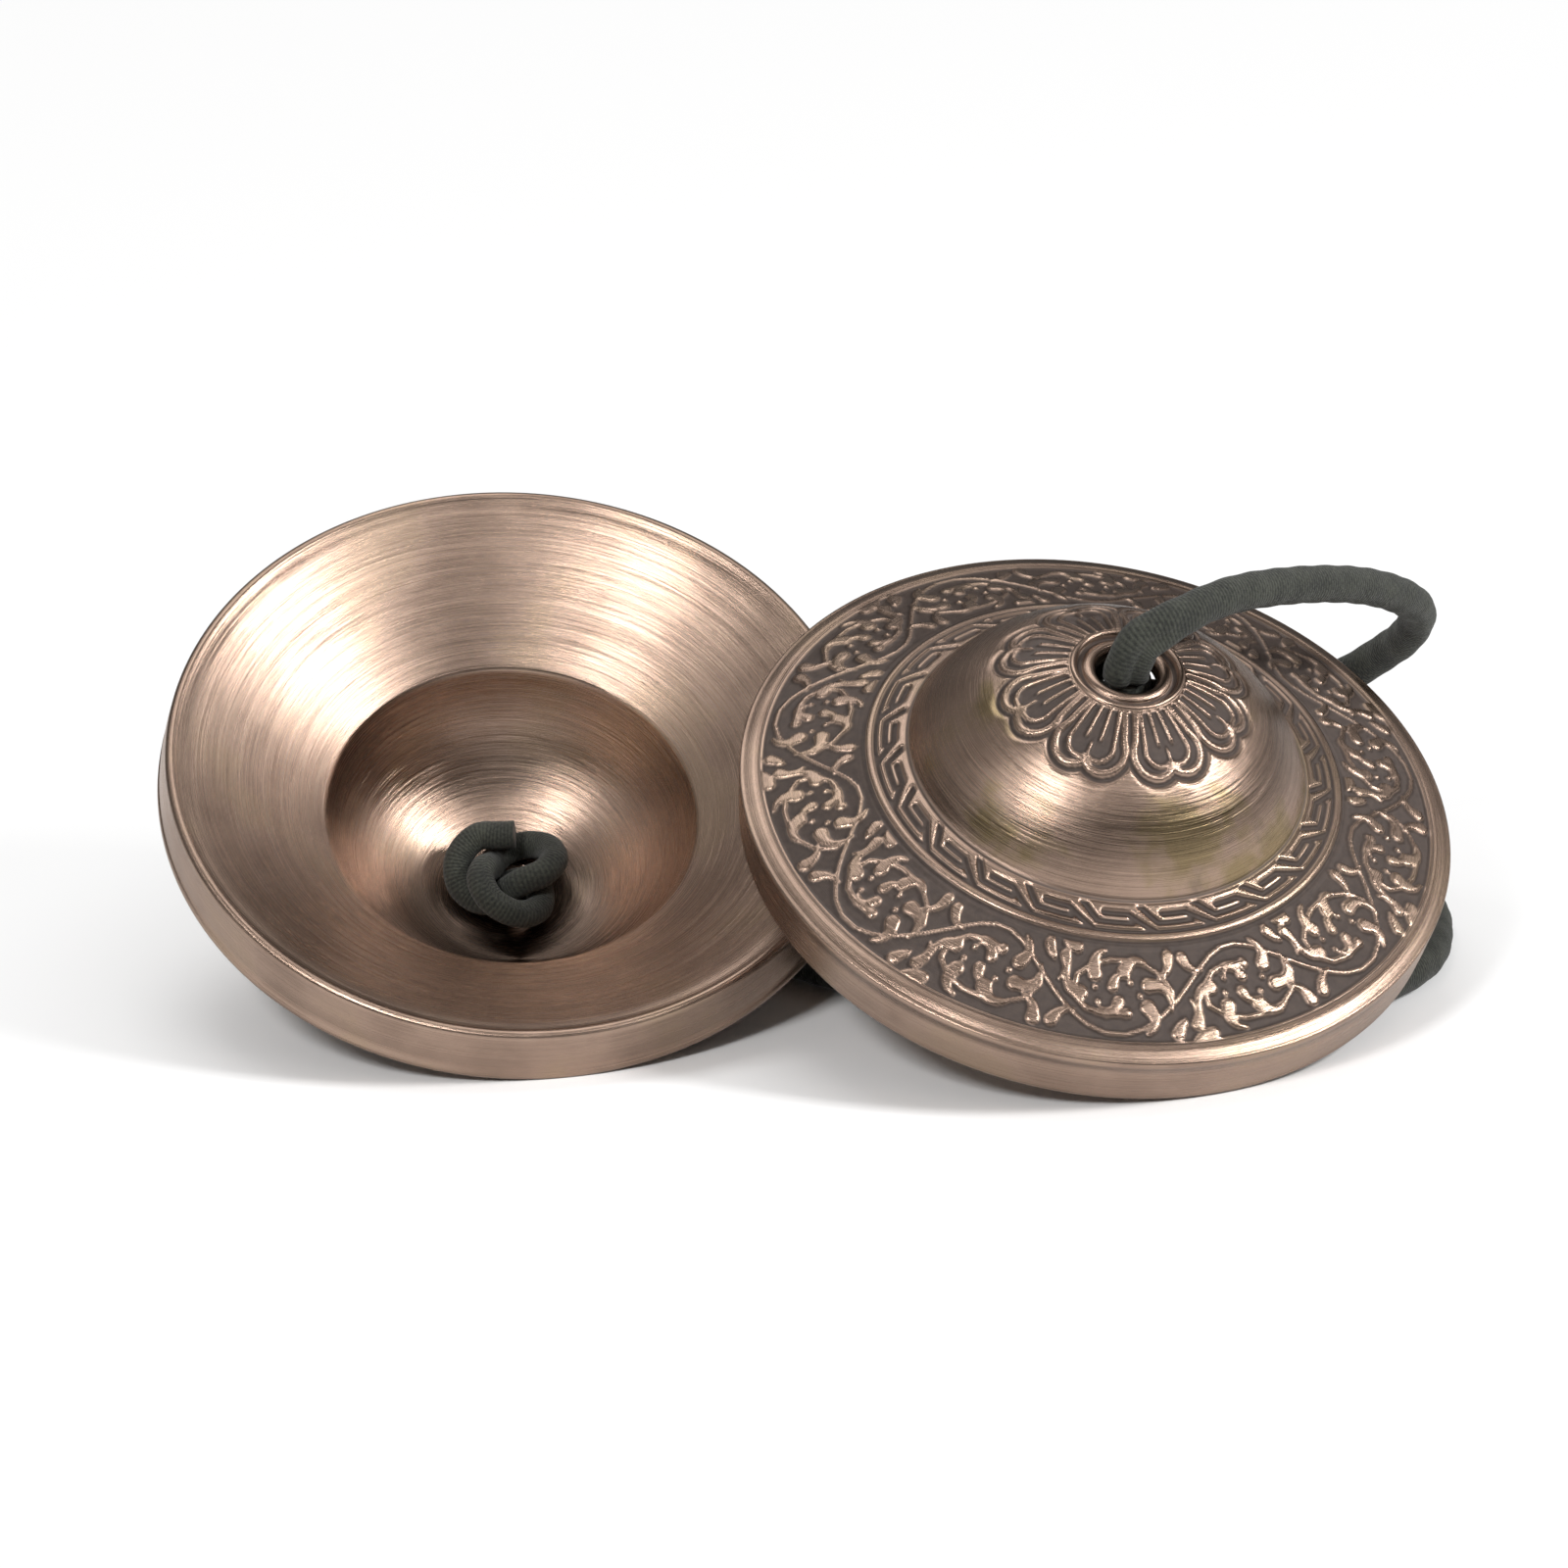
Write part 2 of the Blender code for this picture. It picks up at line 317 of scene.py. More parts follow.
def curve_through(points: Sequence[Sequence[float]], count: int) -> np.ndarray:
    """Smooth curve through points, evenly spaced.

    Args:
        points: two or more points of any dimension.
        count: how many points come back.

    Returns:
        The points as rows of an array.
    """
    given = [np.array(p, float) for p in points]
    padded = [2 * given[0] - given[1]] + given + [2 * given[-1] - given[-2]]
    dense = []
    for before, start, end, after in zip(padded, padded[1:], padded[2:], padded[3:]):
        knots = [0.0]
        for a, b in ((before, start), (start, end), (end, after)):
            knots.append(knots[-1] + math.sqrt(np.linalg.norm(b - a)))
        k0, k1, k2, k3 = knots
        for k in np.linspace(k1, k2, 24, endpoint=False):
            a1 = (before * (k1 - k) + start * (k - k0)) / (k1 - k0)
            a2 = (start * (k2 - k) + end * (k - k1)) / (k2 - k1)
            a3 = (end * (k3 - k) + after * (k - k2)) / (k3 - k2)
            b1 = (a1 * (k2 - k) + a2 * (k - k0)) / (k2 - k0)
            b2 = (a2 * (k3 - k) + a3 * (k - k1)) / (k3 - k1)
            dense.append((b1 * (k2 - k) + b2 * (k - k1)) / (k2 - k1))
    dense.append(given[-1])
    dense = np.array(dense)
    length = np.concatenate([[0], np.cumsum(np.linalg.norm(np.diff(dense, axis=0), axis=1))])
    wanted = np.linspace(0, length[-1], count)
    return np.stack([np.interp(wanted, length, dense[:, k]) for k in range(dense.shape[1])], 1)


def soft_step(value: np.ndarray, low: float, high: float) -> np.ndarray:
    """Smooth step.

    Args:
        value: the values.
        low: below it the result is 0.
        high: above it the result is 1.

    Returns:
        The stepped values.
    """
    t = np.clip((value - low) / (high - low), 0.0, 1.0)
    return t * t * (3 - 2 * t)


def stroke_depth(x: np.ndarray, y: np.ndarray, stroke: Stroke) -> np.ndarray:
    """How far inside a stroke each point lies, in mm, negative outside.

    Args:
        x: places along the band.
        y: places across the band.
        stroke: the vine or leaf.

    Returns:
        The depth of each point.
    """
    line = curve_through(stroke.points, 12) if len(stroke.points) > 1 else np.array(stroke.points)
    if len(line) == 1:
        return stroke.start - np.hypot(x - line[0, 0], y - line[0, 1])
    widths = np.linspace(stroke.start, stroke.end, len(line))
    best = np.full(x.shape, -9.0)
    for (ax, ay), (bx, by), wa, wb in zip(line, line[1:], widths, widths[1:]):
        dx, dy = bx - ax, by - ay
        t = np.clip(((x - ax) * dx + (y - ay) * dy) / (dx * dx + dy * dy), 0, 1)
        gap = np.hypot(x - ax - t * dx, y - ay - t * dy)
        best = np.maximum(best, wa + (wb - wa) * t - gap)
    return best


@dataclass(frozen=True)
class CymbalForm:
    """Turned section of a cymbal in mm, heights from the wall's upper edge toward the boss."""

    rim: float = 32.5
    wall: float = 5.35
    draft: float = 0.65
    lip_width: float = 0.85
    lip_round: float = 0.35
    bevel: float = 1.85
    bevel_rise: float = 0.83
    ridge: float = 21.4
    ridge_height: float = 4.6
    base_height: float = 6.0
    dome: float = 19.91
    dome_centre: float = -2.51
    thickness: float = 2.0
    shoulder_height: float = 3.0
    collar: float = 4.97
    hole: float = 2.75

    @property
    def base(self) -> float:
        """Radius of the boss's foot."""
        return math.sqrt(self.dome**2 - (self.base_height - self.dome_centre)**2)

    @property
    def crown(self) -> float:
        """Height of the dome at the collar."""
        return self.dome_centre + math.sqrt(self.dome**2 - self.collar**2)

    def sphere(self, size: float, start: float, end: float, count: int) -> np.ndarray:
        """Section points on a sphere round the dome's centre, between two radii."""
        angles = np.linspace(math.asin(start / size), math.asin(end / size), count)
        return np.stack([size * np.sin(angles), self.dome_centre + size * np.cos(angles)], 1)

    def boss_rows(self) -> np.ndarray:
        """Section over the hole's lip, the collar and the dome."""
        c = self.crown
        lip = curve_through([(self.hole, c - 1.3), (self.hole + 0.1, c - 0.4),
                             (self.hole + 0.5, c + 0.06), (self.hole + 0.95, c + 0.02),
                             (self.hole + 1.25, c - 0.2)], 8)
        groove = curve_through([(self.hole + 1.36, c - 0.44), (self.hole + 1.54, c - 0.52),
                                (self.hole + 1.72, c - 0.44)], 4)
        ring = curve_through([(self.collar - 0.36, c - 0.02), (self.collar - 0.1, c + 0.17),
                              (self.collar + 0.12, c + 0.1), (self.collar + 0.26, c - 0.14)], 6)
        rosette = self.sphere(self.dome, self.collar + 0.34, 11.9, 33)
        skirt = self.sphere(self.dome, 12.3, self.base - 0.1, 7)
        return np.concatenate([lip, groove, ring, rosette, skirt])

    def band_rows(self) -> np.ndarray:
        """Section over the key band, its ridges and the scroll band."""
        foot = (self.base + 0.12, self.base_height - 0.35)
        start = (self.base + 0.45, self.base_height - 0.3)
        edge = (self.rim - self.bevel, self.bevel_rise)
        key = np.linspace(start, (self.ridge - 0.6, self.ridge_height + 0.26), 14)
        scroll = np.linspace((self.ridge - 0.4, self.ridge_height + 0.17), edge, 47)
        return np.concatenate([[foot], key, scroll])

    def rim_rows(self) -> np.ndarray:
        """Section over the bevel, the wall, the lip and the inside, back up to the hole."""
        lip = self.rim - self.draft
        bevel = np.array([(self.rim - self.bevel + 0.1, self.bevel_rise - 0.16),
                          (self.rim - self.bevel + 0.22, self.bevel_rise - 0.03),
                          (self.rim - 1.0, 0.42), (self.rim - 0.5, 0.24), (self.rim - 0.34, 0.1),
                          (self.rim - 0.2, 0.1), (self.rim - 0.05, 0.0), (self.rim, -0.12)])
        wall = np.array([(self.rim - 0.06, -0.7), (self.rim - 0.16, -0.78), (self.rim - 0.2, -1.6),
                         (self.rim - 0.4, -3.3), (lip, 0.7 - self.wall)])
        turned = curve_through([(lip, 0.45 - self.wall), (lip - 0.16, 0.18 - self.wall),
                                (lip - 0.42, 0.02 - self.wall), (lip - self.lip_width, 0.05 - self.wall),
                                (lip - self.lip_width - 0.2, 0.28 - self.wall)], 7)
        hollow = self.dome - self.thickness
        shoulder = math.sqrt(hollow**2 - (self.shoulder_height - self.dome_centre)**2)
        inner = lip - self.lip_width - 0.35
        dish = []
        for share in np.linspace(0.03, 0.95, 11):
            sag = 0.35 * math.sin(math.pi * share)
            radius = inner + (shoulder - inner) * share
            height = -self.wall + (self.shoulder_height + self.wall) * share
            dish.append((radius + sag, height - sag + 0.15))
        edge = np.array([(shoulder + 0.25, self.shoulder_height - 0.04),
                         (shoulder + 0.04, self.shoulder_height + 0.12),
                         (shoulder - 0.1, self.shoulder_height + 0.38)])
        bowl = self.sphere(hollow, shoulder - 0.3, self.hole + 0.3, 17)
        return np.concatenate([bevel, wall, turned, np.array(dish), edge, bowl])


@dataclass
class Chasing:
    """Raised ornament of a cymbal's top as a height in 0 to 1 over radius and turn."""

    petals: int = 8
    keys: int = 23
    loops: int = 14
    rosette_start: float = 5.35
    rosette_tip: float = 11.4
    scroll_start: float = 22.35
    scroll_end: float = 30.45
    strokes: list[Stroke] = field(default_factory=list)

    def __post_init__(self) -> None:
        """Draw one loop of the vine scroll: wave stem, curled branch, leaves and drops."""
        length, height = self.cell_length(), self.scroll_end - self.scroll_start
        middle = (length / 2, height / 2)
        reach = (0.44 * length, 0.41 * height)

        def inside(share: float, degrees: float) -> tuple[float, float]:
            """Place in the loop, by its share of the loop's size and its angle."""
            angle = math.radians(degrees)
            return (middle[0] + share * reach[0] * math.cos(angle),
                    middle[1] + share * reach[1] * math.sin(angle))

        stem = [(length * t, height * (0.5 + 0.44 * math.sin(math.pi * t)))
                for t in np.linspace(-0.1, 1.1, 9)]
        branch = [inside(1.0 - 0.48 * t**1.6, 24 - 312 * t) for t in np.linspace(0, 1, 13)]
        self.strokes = [Stroke(tuple(stem), 0.19, 0.19), Stroke(tuple(branch), 0.19, 0.3)]
        self.drop(branch[-1], 0.52)
        for degrees in (32, 336, 282, 230, 172):
            self.leaf(inside(0.62, degrees), degrees + 28, 2.7, 1.3)
        for degrees in (80, 250):
            self.leaf(inside(0.2, degrees), degrees + 40, 2.1, 1.5)
        for degrees in (4, 140, 200, 308):
            self.drop(inside(0.4, degrees), 0.3)
        corners = ((0.07, 0.16, 70, 2.3), (0.16, 0.05, 185, 2.2), (0.94, 0.09, 100, 2.4),
                   (0.06, 0.88, -60, 2.3), (0.92, 0.93, -60, 2.3))
        for across, up, heading, size in corners:
            self.leaf((across * length, up * height), heading, size, 0.9)

    def leaf(self, head: tuple[float, float], heading: float, size: float, bend: float) -> None:
        """Add a comma leaf.

        Args:
            head: middle of its round head, in mm.
            heading: direction in degrees in which its tail starts.
            size: length of the tail, in mm.
            bend: how far the tail turns at each step, in half radians.
        """
        points = [head]
        angle = math.radians(heading)
        for step in (0.36, 0.34, 0.3):
            x, y = points[-1]
            points.append((x + step * size * math.cos(angle), y + step * size * math.sin(angle)))
            angle += bend / 2
        self.strokes.append(Stroke(tuple(points), 0.265 * size, 0.07 * size))

    def drop(self, place: tuple[float, float], size: float) -> None:
        """Add a round drop of this radius."""
        self.strokes.append(Stroke((place,), size, size))

    def cell_length(self) -> float:
        """Length of one loop along the middle of the band, in mm."""
        return math.pi * (self.scroll_start + self.scroll_end) / self.loops

    def petal(self, x: np.ndarray, y: np.ndarray, lobe: Point, slope: float) -> np.ndarray:
        """Distance to a two-lobed petal outline in mm, negative inside.

        Args:
            x: distance from the petal's middle line.
            y: distance from the hole along that line.
            lobe: the round lobe's place across and along the petal, and its radius.
            slope: half the petal's width over its distance from the hole.

        Returns:
            The distance of each point.
        """
        across, out, size = lobe
        return np.minimum(np.hypot(x - across, y - out) - size, np.maximum(x - y * slope, y - out))

    def rosette(self, radius: np.ndarray, turn: np.ndarray) -> np.ndarray:
        """Height of the eight lotus petals round the hole.

        Args:
            radius: distances from the axis, in mm.
            turn: angles round the axis, in radians.

        Returns:
            Heights from 0 in the ground to 1 on the raised lines.
        """
        sector = 2 * math.pi / self.petals
        offset = (turn % sector) - sector / 2
        x = np.abs(radius * np.sin(offset))
        y = radius * np.cos(offset)
        outer = self.petal(x, y, (1.32, self.rosette_tip - 2.3, 2.3), math.tan(sector * 0.48))
        inner = self.petal(x, y, (0.78, self.rosette_tip - 2.45, 1.28), math.tan(sector * 0.29))
        rim = 1 - soft_step(np.abs(outer + 0.4), 0.2, 0.42)
        line = 1 - soft_step(np.abs(inner), 0.1, 0.28)
        rib = np.abs(x - y * 0.078)
        ribs = (1 - soft_step(rib, 0.08, 0.24)) * (1 - soft_step(y, 8.3, 8.7))
        spoke = (1 - soft_step(np.abs(offset) * y, 0.05, 0.2)) * soft_step(y, 8.6, 9.0)
        inlay = np.maximum(ribs, spoke) * (inner < 0)
        body = np.where(outer < 0, np.maximum.reduce([rim, line * 0.95, inlay * 0.9]), 0.0)
        return np.where(outer < 0, body, soft_step(outer, 0.12, 0.5))

    def keys_height(self, across: np.ndarray, turn: np.ndarray) -> np.ndarray:
        """Height of the key band.

        Args:
            across: places over the band, from 0 at the ridge to 1 at the boss.
            turn: angles round the axis, in radians.

        Returns:
            Heights from 0 in the cut channels to 1 on the bars.
        """
        cell = (turn / (2 * math.pi) * self.keys) % 1.0
        length, height = 5.4, 2.5
        depth = np.full(cell.shape, -9.0)
        hooks = (((0.02, 0.62), (0.42, 0.62), (0.86, -0.1)), ((0.58, 1.1), (0.92, 0.27), (1.5, 0.27)))
        for hook in hooks:
            for shift in (-1.0, 0.0, 1.0):
                for (ax, ay), (bx, by) in zip(hook, hook[1:]):
                    ax_mm, bx_mm = (ax + shift) * length, (bx + shift) * length
                    dx, dy = bx_mm - ax_mm, (by - ay) * height
                    px, py = cell * length - ax_mm, (across - ay) * height
                    t = np.clip((px * dx + py * dy) / (dx * dx + dy * dy), 0, 1)
                    depth = np.maximum(depth, 0.33 - np.hypot(px - t * dx, py - t * dy))
        return 1.0 - soft_step(depth, -0.08, 0.12)

    def scroll(self, radius: np.ndarray, turn: np.ndarray) -> np.ndarray:
        """Height of the vine scroll, every second loop mirrored.

        Args:
            radius: distances from the axis, in mm.
            turn: angles round the axis, in radians.

        Returns:
            Heights from 0 in the ground to 1 on the vine and its leaves.
        """
        length = self.cell_length()
        height = self.scroll_end - self.scroll_start
        place = turn / (2 * math.pi) * self.loops
        index = np.floor(place)
        x = (place - index) * length
        y = radius - self.scroll_start
        flipped = index % 2 == 1
        y = np.where(flipped, height - y, y)
        depth = np.full(x.shape, -9.0)
        for stroke in self.strokes:
            depth = np.maximum(depth, stroke_depth(x, y, stroke))
        return soft_step(depth, -0.1, 0.16)

    def height(self, form: CymbalForm, radius: np.ndarray, turn: np.ndarray) -> np.ndarray:
        """Height of all ornament on the top of a cymbal.

        Args:
            form: the cymbal's section.
            radius: distances from the axis, in mm.
            turn: angles round the axis, in radians.

        Returns:
            Heights from 0 in the ground to 1 on the raised metal.
        """
        result = np.ones(radius.shape)
        rosette = (radius > self.rosette_start) & (radius < 12.0)
        result[rosette] = self.rosette(radius[rosette], turn[rosette])
        key_in, key_out = form.base + 0.45, form.ridge - 0.75
        keys = (radius > key_in) & (radius < key_out)
        across = (key_out - radius[keys]) / (key_out - key_in)
        result[keys] = self.keys_height(across, turn[keys])
        ridge = (radius >= key_out) & (radius <= self.scroll_start)
        wave = np.cos((radius[ridge] - form.ridge) / 0.62 * math.pi)
        result[ridge] = soft_step(wave, -0.7, 0.4)
        scroll = (radius > self.scroll_start) & (radius < self.scroll_end)
        result[scroll] = self.scroll(radius[scroll], turn[scroll])
        return result


def join_rings(rings: list[np.ndarray]) -> tuple[list, list]:
    """Faces between point rings whose counts are equal or halve or double, closed round.

    Args:
        rings: the index arrays of successive rings.

    Returns:
        Quads and triangles as lists of corner indices.
    """
    quads, triangles = [], []
    for upper, lower in zip(rings, rings[1:] + rings[:1]):
        next_upper, next_lower = np.roll(upper, -1), np.roll(lower, -1)
        if len(upper) == len(lower):
            quads.append(np.stack([upper, lower, next_lower, next_upper], 1))
        elif len(upper) < len(lower):
            even, odd, after = lower[::2], lower[1::2], np.roll(lower, -2)[::2]
            triangles.append(np.stack([upper, even, odd], 1))
            triangles.append(np.stack([upper, odd, next_upper], 1))
            triangles.append(np.stack([next_upper, odd, after], 1))
        else:
            even, odd, after = upper[::2], upper[1::2], np.roll(upper, -2)[::2]
            triangles.append(np.stack([even, lower, odd], 1))
            triangles.append(np.stack([lower, next_lower, odd], 1))
            triangles.append(np.stack([odd, next_lower, after], 1))
    faces = [list(map(int, f)) for f in np.concatenate(quads)]
    loose = [list(map(int, f)) for f in np.concatenate(triangles)] if triangles else []
    return faces, loose


def store(mesh: bpy.types.Mesh, name: str, values: np.ndarray) -> None:
    """Keep one value for each point of a mesh.

    Args:
        mesh: the mesh.
        name: the attribute's name, which a material reads.
        values: one value for each point, in order.
    """
    layer = mesh.attributes.new(name, 'FLOAT', 'POINT')
    layer.data.foreach_set("value", values.astype(np.float32))


@dataclass
class Cymbal:
    """One cast cymbal, turned at a fine pitch with its ornament raised in the mesh."""

    side: Side
    placing: Matrix
    form: CymbalForm = field(default_factory=CymbalForm)
    chasing: Chasing = field(default_factory=Chasing)
    relief_depth: float = 0.32
    fine_steps: int = 936

    @property
    def node(self) -> str:
        """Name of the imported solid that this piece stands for."""
        return "cymbal_" + self.side.value

    def build(self, finish: BronzeFinish) -> bpy.types.Object:
        """Make the cymbal in its place.

        Args:
            finish: the metal's look.

        Returns:
            The finished piece.
        """
        plan = ((self.form.boss_rows(), 2, True), (self.form.band_rows(), 1, True),
                (self.form.rim_rows(), 4, False))
        rows = np.concatenate([part for part, _, _ in plan])
        steps = np.concatenate([np.full(len(part), self.fine_steps // coarser)
                                for part, coarser, _ in plan])
        chased = np.concatenate([np.full(len(part), top) for part, _, top in plan])
        steps[:2] = self.fine_steps // 4
        steps[len(plan[0][0]) + len(plan[1][0])] = self.fine_steps // 2
        tangent = np.roll(rows, -1, 0) - np.roll(rows, 1, 0)
        normal = np.stack([-tangent[:, 1], tangent[:, 0]], 1)
        normal /= np.linalg.norm(normal, axis=1)[:, None]
        along = np.concatenate([[0], np.cumsum(np.linalg.norm(np.diff(rows, axis=0), axis=1))])

        points, rings, lengths, reliefs, plains = [], [], [], [], []
        total = 0
        for row, count, top, out, length in zip(rows, steps, chased, normal, along):
            turn = np.arange(count) * 2 * math.pi / count
            radius = np.full(count, row[0])
            relief = self.chasing.height(self.form, radius, turn) if top else np.ones(count)
            sunk = (relief - 1.0) * self.relief_depth
            r = radius + out[0] * sunk
            z = row[1] + out[1] * sunk
            points.append(np.stack([r * np.cos(turn), r * np.sin(turn), z], 1) * MM)
            rings.append(np.arange(total, total + count))
            total += count
            lengths.append(np.full(count, length))
            groove = 0.25 if self._in_groove(row, top) else 1.0
            reliefs.append(relief * groove)
            plains.append(np.full(count, 1.0 if top and 11.6 < row[0] < 18.4 else 0.25))
        faces, loose = join_rings(rings)
        mesh = bpy.data.meshes.new(self.node + "_cast")
        mesh.from_pydata((np.concatenate(points)).tolist(), [], faces + loose)
        store(mesh, "along", np.concatenate(lengths))
        store(mesh, "relief", np.concatenate(reliefs))
        store(mesh, "plain", np.concatenate(plains))
        mesh.transform(self.placing)
        mesh.shade_smooth()
        piece = bpy.data.objects.new(self.node + "_cast", mesh)
        bpy.context.scene.collection.objects.link(piece)
        piece.data.materials.append(finish.material("bronze_" + self.side.value, self.placing))
        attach(piece, self.side.value)
        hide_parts(self.node)
        return piece

    def _in_groove(self, row: np.ndarray, top: bool) -> bool:
        """Whether a section point lies in one of the turned grooves, which stay dark.

        Args:
            row: the point's radius and height, in mm.
            top: whether it lies on the chased side.

        Returns:
            True in a groove.
        """
        form = self.form
        hole_groove = form.hole + 1.3 < row[0] < form.collar - 0.4
        foot = abs(row[0] - form.base - 0.12) < 0.2
        outer = abs(row[0] - (form.rim - form.bevel + 0.1)) < 0.06
        return bool((top and (hole_groove or foot)) or (outer and row[1] > 0.5))


@dataclass
class Strand:
    """A round strand of suede swept along a route."""

    name: str
    route: list[Point]
    diameter: float
    rings: int
    sides: int = 28
    lobes: Optional[Callable[[np.ndarray, np.ndarray], np.ndarray]] = None

    def centreline(self) -> np.ndarray:
        """Evenly spaced points along the route."""
        return curve_through(self.route, self.rings)

    def build(self, finish: bpy.types.Material) -> bpy.types.Object:
        """Sweep the strand.

        Args:
            finish: the suede material.

        Returns:
            The tube as a mesh object.
        """
        line = self.centreline()
        tangent = np.gradient(line, axis=0)
        tangent /= np.linalg.norm(tangent, axis=1)[:, None]
        side = np.cross(tangent[0], (0.3, 0.9, 0.2))
        side /= np.linalg.norm(side)
        frames = []
        for t in tangent:
            side = side - t * np.dot(side, t)
            side /= np.linalg.norm(side)
            frames.append((side.copy(), np.cross(t, side)))
        length = np.concatenate([[0], np.cumsum(np.linalg.norm(np.diff(line, axis=0), axis=1))])
        turn = np.arange(self.sides) * 2 * math.pi / self.sides
        points, lengths, turns, cuts = [], [], [], []
        for centre, (a, b), s in zip(line, frames, length):
            radius = np.full(self.sides, self.diameter / 2)
            if self.lobes is not None:
                radius = radius * self.lobes(turn, np.full(self.sides, s))
            ring = centre + radius[:, None] * (np.cos(turn)[:, None] * a + np.sin(turn)[:, None] * b)
            points.append(ring)
            lengths.append(np.full(self.sides, s / MM))
            turns.append(turn / (2 * math.pi))
            cuts.append(np.zeros(self.sides))
        for index in (0, -1):
            points.append(line[index][None, :])
            lengths.append(np.array([length[index] / MM]))
            turns.append(np.array([0.0]))
            cuts.append(np.array([1.0]))
        count = self.sides
        faces = []
        for i in range(len(line) - 1):
            for j in range(count):
                k = (j + 1) % count
                faces.append((i * count + j, i * count + k, (i + 1) * count + k, (i + 1) * count + j))
        first, last = len(line) * count, len(line) * count + 1
        base = (len(line) - 1) * count
        for j in range(count):
            k = (j + 1) % count
            faces.append((first, k, j))
            faces.append((last, base + j, base + k))
        mesh = bpy.data.meshes.new(self.name)
        mesh.from_pydata(np.concatenate(points).tolist(), [], faces)
        store(mesh, "along", np.concatenate(lengths))
        store(mesh, "around", np.concatenate(turns))
        store(mesh, "cut", np.concatenate(cuts))
        mesh.shade_smooth()
        piece = bpy.data.objects.new(self.name, mesh)
        bpy.context.scene.collection.objects.link(piece)
        piece.data.materials.append(finish)
        return piece


@dataclass
class Cord:
    """The suede-covered cord with its two overhand knots."""

    left: Matrix
    right: Matrix
    diameter: float = 3.46 * MM
    knot_diameter: float = 2.6 * MM
    crown: float = 15.19
    arc: tuple = (
        (30.4, -12.2, 36.3), (33.4, -11.3, 38.0), (38.4, -7.2, 38.8), (44.9, -1.0, 37.7),
        (51.6, 6.0, 35.2), (56.0, 11.8, 32.0), (57.5, 15.6, 29.3), (56.7, 19.4, 25.9),
        (54.0, 23.5, 22.4), (48.5, 26.5, 17.5), (45.5, 27.6, 9.5),
    )
    ground: tuple = (
        (43.8, 26.6, 3.3), (47.5, 22.8, 1.9), (53.8, 19.0, 1.9), (57.5, 13.0, 1.9),
        (57.9, 5.0, 1.9), (56.0, -3.0, 1.9), (50.5, -9.5, 1.9), (41.0, -13.0, 1.9),
        (28.0, -13.0, 1.9), (15.0, -8.5, 1.9), (4.0, -1.0, 1.9), (-5.0, 7.5, 1.9),
        (-13.0, 15.5, 1.9), (-20.0, 22.0, 1.9), (-26.0, 24.5, 1.9), (-30.3, 22.3, 1.9),
        (-29.4, 18.9, 2.15),
    )

    def route(self) -> list[Point]:
        """The free cord's route, from inside the right boss to inside the left one."""
        inner = (self.crown + 0.8) * MM
        outer = (self.crown + 2.0) * MM
        leaving = [self.right @ Vector((0, 0, z)) for z in (inner, outer)]
        entering = [self.left @ Vector((0, 0, z)) for z in ((inner + outer) / 2, inner)]
        free = [Vector(p) * MM for p in self.arc + self.ground]
        return [tuple(p) for p in leaving + free + entering]

    def build(self, finish: SuedeFinish) -> list[bpy.types.Object]:
        """Args:
            finish: the suede's look.

        Returns:
            The cord's pieces.
        """
        suede = finish.material("suede")

        def lobes(turn: np.ndarray, along: np.ndarray) -> np.ndarray:
            """Lengthwise fold of the covering, deep where it leaves the right boss."""
            fade = 1.0 - soft_step(along, 0.0035, 0.0105)
            fold = np.abs(np.cos(turn - 2.2))**12
            spread = np.sin(turn - 2.2)**2
            return 1.0 + fade * (0.26 * spread - 0.3 * fold) + 0.02 * (np.sin(along * 1900 + turn) - 1)

        strand = Strand("cord_suede", self.route(), self.diameter, rings=900, lobes=lobes)
        piece = strand.build(suede)
        line = strand.centreline()
        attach(piece, "cord")
        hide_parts("cord")
        knots = [self.knot(Side.LEFT, self.left, math.radians(20), suede),
                 self.knot(Side.RIGHT, self.right, math.radians(80), suede)]
        return [piece] + knots

    def knot(self, side: Side, placing: Matrix, phase: float,
             suede: bpy.types.Material) -> bpy.types.Object:
        """Sweep one overhand knot.

        Args:
            side: the cymbal that it stops in.
            placing: that cymbal's frame.
            phase: how far the knot is turned round the axis.
            suede: its material.

        Returns:
            The knot.
        """
        ring, twist = 3.3, 1.5
        top = self.crown + 0.2
        seat = 19.91 - 2.0 - 0.3 - twist - 1.15
        middle = -2.51 + math.sqrt(seat**2 - ring**2)
        route = [(0.0, 0.0, top), (0.0, 0.0, top - 0.77)]

        def add(radius: float, around: float, height: float) -> None:
            """Append one route point given round the axis."""
            angle = around + phase
            route.append((radius * math.cos(angle), radius * math.sin(angle), middle + height))

        add(ring * 0.27, math.radians(-60), twist * 1.45)
        add(ring * 0.7, math.radians(-28), twist * 1.22)
        for t in np.linspace(0, math.radians(300), 21):
            add(ring + twist * math.sin(3 * t), 2 * t, twist * math.cos(3 * t))
        last, before = np.array(route[-1]), np.array(route[-2])
        route.append(tuple(last + (last - before) / np.linalg.norm(last - before) * 1.2))
        placed = [tuple(placing @ (Vector(p) * MM)) for p in route]
        piece = Strand("knot_suede_" + side.value, placed, self.knot_diameter, 260, 24).build(suede)
        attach(piece, "cord")
        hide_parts("knot_" + side.value)
        return piece


